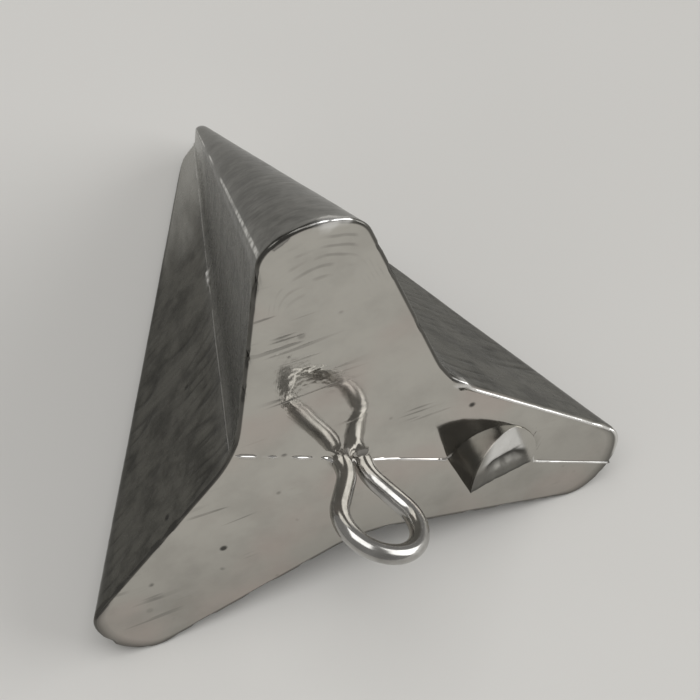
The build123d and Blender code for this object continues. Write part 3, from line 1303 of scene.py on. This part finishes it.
@dataclass(frozen=True)
class CastLeadFinish:
    """Bare cast lead: bright, smooth open base and darker, chilled moulded sides, with painted highlights
    and painted shade laid over them.
    """

    flute_colour: tuple = (0.130, 0.127, 0.114, 1.0)
    ridge_colour: tuple = (0.062, 0.061, 0.055, 1.0)
    patch_colour: tuple = (0.15, 0.147, 0.137, 1.0)
    # Painted sheen on the flutes towards the tip
    tip_sheen_colour: tuple = (0.50, 0.494, 0.47, 1.0)
    dull_colour: tuple = (0.04, 0.039, 0.035, 1.0)
    base_colour: tuple = (0.56, 0.543, 0.503, 1.0)
    # Colour of the oxide bloom, also used for the painted shade towards the floor-side wings
    bloom_and_shade_colour: tuple = (0.37, 0.358, 0.33, 1.0)
    blush_colour: tuple = (0.54, 0.465, 0.43, 1.0)
    # Painted shade in chill lines, chips, nicks, pits, along the floor-side edges and on the stub
    painted_shade_colour: tuple = (0.035, 0.034, 0.032, 1.0)
    # Painted highlight on the shoulders, the seam fin, the flash, beads and the stub
    painted_glint_colour: tuple = (0.86, 0.855, 0.84, 1.0)
    scratch_colour: tuple = (0.12, 0.117, 0.11, 1.0)
    edge_tint: tuple = (0.79, 0.79, 0.78, 1.0)
    flute_roughness: float = 0.27
    ridge_roughness: float = 0.2
    base_roughness: float = 0.075
    film_scale: float = 150.0
    scratch_scale: float = 1100.0
    scratch_patch_scale: float = 120.0
    pit_scale: float = 330.0
    pit_patch_scale: float = 190.0
    mottle_scale: float = 260.0
    grain_scale: float = 900.0
    streak_scale: float = 420.0
    patch_scale: float = 430.0
    speckle_scale: float = 1500.0
    broken_scale: float = 170.0
    arc_count: float = 170.0
    arc_drift_scale: float = 170.0
    arc_patch_scale: float = 260.0
    skin_scale: float = 1300.0
    lump_scale: float = 620.0
    bump_strength: float = 0.6
    bump_depth: float = 0.00003

    def material(self) -> bpy.types.Material:
        """Build the material.

        Returns:
            The material.
        """
        material, sketch, shader = new_material("cast_lead")
        masks = self._masks(sketch)
        sketch.feed(shader.inputs["Base Color"], self._colour(sketch, masks))
        sketch.feed(shader.inputs["Roughness"], self._roughness(sketch, masks))
        sketch.feed(shader.inputs["Normal"], self._relief(sketch, masks))
        shader.inputs["Metallic"].default_value = 1.0
        shader.inputs["Specular Tint"].default_value = self.edge_tint
        return material

    def _masks(self, sketch: NodeSketch) -> LeadMasks:
        """Add the attributes and textures that several parts of the shader read.

        Args:
            sketch: Sketch of the material's tree.

        Returns:
            Their sockets.
        """
        where = sketch.own_place()
        place = sketch.add("SeparateXYZ", {0: where}).outputs
        skin = {mark: sketch.mark(mark.value) for mark in Skin}
        film = sketch.add("Group", {"Vector": where, "Scale": self.film_scale}, node_tree=oxide_bloom())
        inputs = {
            "Vector": where, "Scale": self.scratch_scale,
            "Patch": self.scratch_patch_scale, "Gather": skin[Skin.SCUFF],
        }
        scored = sketch.add("Group", inputs, node_tree=handling_scratches())
        cells = sketch.add("TexVoronoi", {"Vector": where, "Scale": self.pit_scale, "Randomness": 1.0})
        chosen = sketch.span(sketch.noise(where, self.pit_patch_scale, 1.0), 0.6, 0.66)
        chosen = sketch.math("MAXIMUM", chosen, sketch.times(skin[Skin.SCUFF], 0.5))
        pit = sketch.times(sketch.span(cells.outputs["Distance"], 0.07, 0.16, 1.0, 0.0), chosen)
        return LeadMasks(
            where, place["Y"], place["Z"], skin,
            film.outputs["Bloom"], film.outputs["Blush"], scored.outputs["Scratch"], pit,
        )

    def _colour(self, sketch: NodeSketch, masks: LeadMasks) -> bpy.types.NodeSocket:
        """Lay the skin's colours over one another, from the moulded sides up to scratches and pits.

        Args:
            sketch: Sketch of the material's tree.
            masks: Sockets that the layers read.

        Returns:
            The colour.
        """
        skin = masks.skin
        mottle = sketch.span(sketch.noise(masks.where, self.mottle_scale, 5.0, 0.65), 0.4, 0.66)
        # Painted shade: the base darkens towards the wings that lie on the floor, mixed with the patchy
        # oxide bloom
        film_and_low_shade = sketch.span(masks.up_wing, -0.015, 0.0, 0.6, 0.0)
        film_and_low_shade = sketch.math("ADD", film_and_low_shade, sketch.times(masks.bloom, 0.4), clamp=True)
        # Painted light among the layers: the tip sheen, the shoulder line and the glint mark are painted
        # highlights; the shade mark and the pits are painted shade; the film layer is partly painted shade
        layers = (
            (sketch.times(mottle, 0.7), self.dull_colour),
            (self._painted_tip_sheen(sketch, masks), self.tip_sheen_colour),
            (self._ridge_patches(sketch, masks), self.patch_colour),
            (self._painted_shoulder_glint(sketch, masks), self.painted_glint_colour),
            (skin[Skin.OPEN_FACE], self.base_colour),
            (sketch.times(film_and_low_shade, skin[Skin.OPEN_FACE]), self.bloom_and_shade_colour),
            (sketch.times(masks.blush, skin[Skin.OPEN_FACE], 0.6), self.blush_colour),
            (self._shrink_arcs(sketch, masks), self.scratch_colour),
            (sketch.times(skin[Skin.PAINTED_SHADE], 0.8), self.painted_shade_colour),
            (sketch.times(skin[Skin.PAINTED_GLINT], 0.85), self.painted_glint_colour),
            (sketch.times(masks.scratch, 0.75), self.scratch_colour),
            (sketch.times(masks.pit, 0.9), self.painted_shade_colour),
        )
        colour = sketch.mix(skin[Skin.RIDGE], self.flute_colour, self.ridge_colour)
        for cover, shade in layers:
            colour = sketch.mix(cover, colour, shade)
        return colour

    def _roughness(self, sketch: NodeSketch, masks: LeadMasks) -> bpy.types.NodeSocket:
        """Work out the roughness: satin sides, a bright base, and duller scratches and torn metal.

        Args:
            sketch: Sketch of the material's tree.
            masks: Sockets that it reads.

        Returns:
            The roughness.
        """
        skin = masks.skin
        grain = sketch.math("SUBTRACT", sketch.noise(masks.where, self.grain_scale, 3.0, 0.6), 0.5)
        moulded = sketch.span(skin[Skin.RIDGE], 0.0, 1.0, self.flute_roughness, self.ridge_roughness)
        moulded = sketch.math("ADD", moulded, sketch.times(grain, 0.2))
        smooth = sketch.math("ADD", self.base_roughness, sketch.times(masks.bloom, 0.06))
        rough = sketch.add("Mix", {0: skin[Skin.OPEN_FACE], 2: moulded, 3: smooth}).outputs[0]
        rough = sketch.math("ADD", rough, sketch.times(skin[Skin.TORN], 0.14))
        return sketch.math("ADD", rough, sketch.times(masks.scratch, 0.12), clamp=True)

    def _relief(self, sketch: NodeSketch, masks: LeadMasks) -> bpy.types.NodeSocket:
        """Work out the finest relief: the cast skin, scratches, pits and scuffed lumps.

        Args:
            sketch: Sketch of the material's tree.
            masks: Sockets that it reads.

        Returns:
            The bumped normal.
        """
        depth = sketch.span(masks.skin[Skin.OPEN_FACE], 0.0, 1.0, 0.9, 0.06)
        relief = sketch.times(sketch.noise(masks.where, self.skin_scale, 3.0, 0.55), depth)
        lumps = sketch.times(sketch.noise(masks.where, self.lump_scale, 2.0, 0.5), masks.skin[Skin.SCUFF])
        for layer, height in ((masks.scratch, -0.5), (masks.pit, -1.5), (lumps, 4.5)):
            relief = sketch.math("ADD", relief, sketch.times(layer, height))
        inputs = {"Height": relief, "Strength": self.bump_strength, "Distance": self.bump_depth}
        return sketch.add("Bump", inputs).outputs["Normal"]

    def _painted_tip_sheen(self, sketch: NodeSketch, masks: LeadMasks) -> bpy.types.NodeSocket:
        """Work out the painted sheen: lighter colour in streaks on the flutes towards the tip.

        Args:
            sketch: Sketch of the material's tree.
            masks: Sockets that it reads.

        Returns:
            The share of the painted sheen.
        """
        drawn_out = sketch.stretch(masks.where, (0.0, 0.0, 0.0), (1.0, 1.0, 0.2))
        streak = sketch.noise(drawn_out, self.streak_scale, 3.0)
        level = sketch.math("ADD", masks.level, sketch.times(streak, 0.012))
        sheen = sketch.span(level, 0.035, 0.050, 0.0, 0.85)
        return sketch.times(sheen, sketch.span(masks.skin[Skin.RIDGE], 0.0, 1.0, 1.0, 0.25))

    def _ridge_patches(self, sketch: NodeSketch, masks: LeadMasks) -> bpy.types.NodeSocket:
        """Work out the pale rubbed patches on the ridges, thicker towards the base.

        Args:
            sketch: Sketch of the material's tree.
            masks: Sockets that they read.

        Returns:
            The share of the patches.
        """
        cloud = sketch.noise(masks.where, self.patch_scale, 4.0, 0.62)
        cloud = sketch.math("ADD", cloud, sketch.span(masks.level, 0.002, 0.022, 0.12, 0.0))
        return sketch.times(sketch.span(cloud, 0.46, 0.72, 0.0, 0.85), masks.skin[Skin.RIDGE])

    def _painted_shoulder_glint(self, sketch: NodeSketch, masks: LeadMasks) -> bpy.types.NodeSocket:
        """Work out the painted highlight: a thin, broken bright line along a wing's shoulder.

        Args:
            sketch: Sketch of the material's tree.
            masks: Sockets that it reads.

        Returns:
            The share of the line.
        """
        line = sketch.span(masks.skin[Skin.SHOULDER_GAP], 0.04, 0.12, 1.0, 0.0)
        speckle = sketch.span(sketch.noise(masks.where, self.speckle_scale, 2.0), 0.36, 0.56, 0.25, 1.0)
        broken = sketch.span(sketch.noise(masks.where, self.broken_scale, 1.0), 0.34, 0.5)
        return sketch.times(line, speckle, broken)

    def _shrink_arcs(self, sketch: NodeSketch, masks: LeadMasks) -> bpy.types.NodeSocket:
        """Work out the faint arcs that the lead left on the base as it drew back from a wing's end.

        Args:
            sketch: Sketch of the material's tree.
            masks: Sockets that they read.

        Returns:
            The share of the arcs.
        """
        ring = masks.skin[Skin.BASE_RING]
        drift = sketch.times(sketch.noise(masks.where, self.arc_drift_scale, 2.0), 7.0)
        turn = sketch.math("ADD", sketch.times(ring, self.arc_count), drift)
        line = sketch.span(sketch.math("SINE", turn), 0.2, 0.98, 0.0, 0.3)
        patch = sketch.span(sketch.noise(masks.where, self.arc_patch_scale, 2.0), 0.48, 0.62)
        inside = sketch.span(ring, 0.955, 0.98, 1.0, 0.0)
        end = sketch.span(masks.up_wing, 0.0205, 0.0245)
        return sketch.times(line, patch, end, inside)


@dataclass(frozen=True)
class SteelWireFinish:
    """Drawn steel wire: bright, with fine die lines along it and a light film."""

    colour: tuple = (0.47, 0.462, 0.443, 1.0)
    film_colour: tuple = (0.20, 0.196, 0.185, 1.0)
    roughness: float = 0.09
    line_scale: float = 6500.0
    film_scale: float = 520.0
    scratch_scale: float = 1500.0
    scratch_patch_scale: float = 400.0
    bump_strength: float = 0.35
    bump_depth: float = 0.00001

    def material(self) -> bpy.types.Material:
        """Build the material.

        Returns:
            The material.
        """
        material, sketch, shader = new_material("drawn_steel_wire")
        where = sketch.own_place()
        drawn_out = sketch.stretch(where, (0.0, 0.0, 0.0), (1.0, 1.0, 0.03))
        lines = sketch.noise(drawn_out, self.line_scale, 3.0)
        film = sketch.add("Group", {"Vector": where, "Scale": self.film_scale}, node_tree=oxide_bloom())
        bloom = film.outputs["Bloom"]
        inputs = {"Vector": where, "Scale": self.scratch_scale, "Patch": self.scratch_patch_scale}
        scored = sketch.add("Group", inputs, node_tree=handling_scratches())

        dull = sketch.times(bloom, 0.5)
        sketch.feed(shader.inputs["Base Color"], sketch.mix(dull, self.colour, self.film_colour))
        rough = sketch.math("ADD", self.roughness, sketch.times(lines, 0.12))
        rough = sketch.math("ADD", rough, sketch.times(bloom, 0.08))
        sketch.feed(shader.inputs["Roughness"], rough)
        shader.inputs["Metallic"].default_value = 1.0
        relief = sketch.math("SUBTRACT", lines, sketch.times(scored.outputs["Scratch"], 0.6))
        inputs = {"Height": relief, "Strength": self.bump_strength, "Distance": self.bump_depth}
        sketch.feed(shader.inputs["Normal"], sketch.add("Bump", inputs).outputs["Normal"])
        return material


@dataclass(frozen=True)
class FloorFinish:
    """Pale, slightly warm matt table top."""

    colour: tuple = (0.70, 0.69, 0.665, 1.0)
    mottle_colour: tuple = (0.66, 0.65, 0.625, 1.0)
    mottle_scale: float = 9.0
    roughness: float = 0.55

    def material(self) -> bpy.types.Material:
        """Build the material.

        Returns:
            The material.
        """
        material, sketch, shader = new_material("pale_floor")
        where = sketch.add("TexCoord").outputs["Object"]
        cloud = sketch.span(sketch.noise(where, self.mottle_scale, 3.0), 0.35, 0.7)
        sketch.feed(shader.inputs["Base Color"], sketch.mix(cloud, self.colour, self.mottle_colour))
        shader.inputs["Roughness"].default_value = self.roughness
        return material


@dataclass(frozen=True)
class SoftLight:
    """Soft square light that faces the part."""

    name: str
    place: tuple
    size: float
    power: float

    def hang(self) -> None:
        """Hang the light."""
        lamp = bpy.data.lights.new(self.name, "AREA")
        lamp.size = self.size
        lamp.energy = self.power
        light = bpy.data.objects.new(self.name, lamp)
        light.location = self.place
        light.rotation_mode = "QUATERNION"
        light.rotation_quaternion = (-Vector(self.place)).to_track_quat("-Z", "Y")
        bpy.context.scene.collection.objects.link(light)


@dataclass
class Studio:
    """Plain pale floor, soft light from above and the photograph's viewing angle."""

    floor_size: float = 3.0
    floor_drop: float = 0.00004
    camera_place: Vector = Vector((-0.0628, 0.0199, 0.1615))
    camera_aim: Vector = Vector((-0.0050, -0.0043, 0.0132))
    camera_roll: float = math.radians(2.0)
    lens: float = 88.0
    near_clip: float = 0.005
    lights: tuple = (
        SoftLight("window", (-0.18, -0.79, 0.38), 0.75, 4.4),
        SoftLight("overhead", (0.05, 0.05, 0.90), 0.7, 3.4),
    )
    world_colour: tuple = (1.0, 0.985, 0.96, 1.0)
    world_strength: float = 0.3

    def build(self) -> None:
        """Make the floor, the lights, the world and the camera."""
        self._lay_floor()
        for light in self.lights:
            light.hang()
        self._set_world()
        self._set_camera()
        bpy.context.scene.view_settings.view_transform = "Standard"

    def _lay_floor(self) -> None:
        """Lay the floor just under the casting."""
        bm = bmesh.new()
        bmesh.ops.create_grid(
            bm, x_segments=1, y_segments=1, size=self.floor_size / 2,
            matrix=Matrix.Translation(-UP * self.floor_drop),
        )
        mesh = bpy.data.meshes.new("pale_floor")
        bm.to_mesh(mesh)
        bm.free()
        mesh.materials.append(FloorFinish().material())
        floor = bpy.data.objects.new("pale_floor", mesh)
        bpy.context.scene.collection.objects.link(floor)

    def _set_world(self) -> None:
        """Surround the part with an even, dim, slightly warm light."""
        world = bpy.data.worlds.new("soft_room")
        world.use_nodes = True
        shade = world.node_tree.nodes["Background"]
        shade.inputs["Color"].default_value = self.world_colour
        shade.inputs["Strength"].default_value = self.world_strength
        bpy.context.scene.world = world

    def _set_camera(self) -> None:
        """Set the camera at the photograph's viewing angle."""
        lens = bpy.data.cameras.new("camera")
        lens.lens = self.lens
        lens.clip_start = self.near_clip
        camera = bpy.data.objects.new("camera", lens)
        camera.location = self.camera_place
        look = (self.camera_aim - self.camera_place).to_track_quat("-Z", "Y")
        roll = Matrix.Rotation(self.camera_roll, 3, "Z").to_quaternion()
        camera.rotation_mode = "QUATERNION"
        camera.rotation_quaternion = look @ roll
        bpy.context.scene.collection.objects.link(camera)
        bpy.context.scene.camera = camera


def main() -> None:
    """Build the pieces in order, then the studio round them."""
    logging.basicConfig(level=logging.INFO, format="%(name)s: %(message)s")
    pose = lying_pose()
    for part, finish in ((LeadCasting(), CastLeadFinish()), (WireEye(), SteelWireFinish())):
        piece = part.build(pose)
        part.dress(piece, finish)
        log.info("made %s", piece.name)
    Studio().build()


if __name__ == "__main__":
    main()
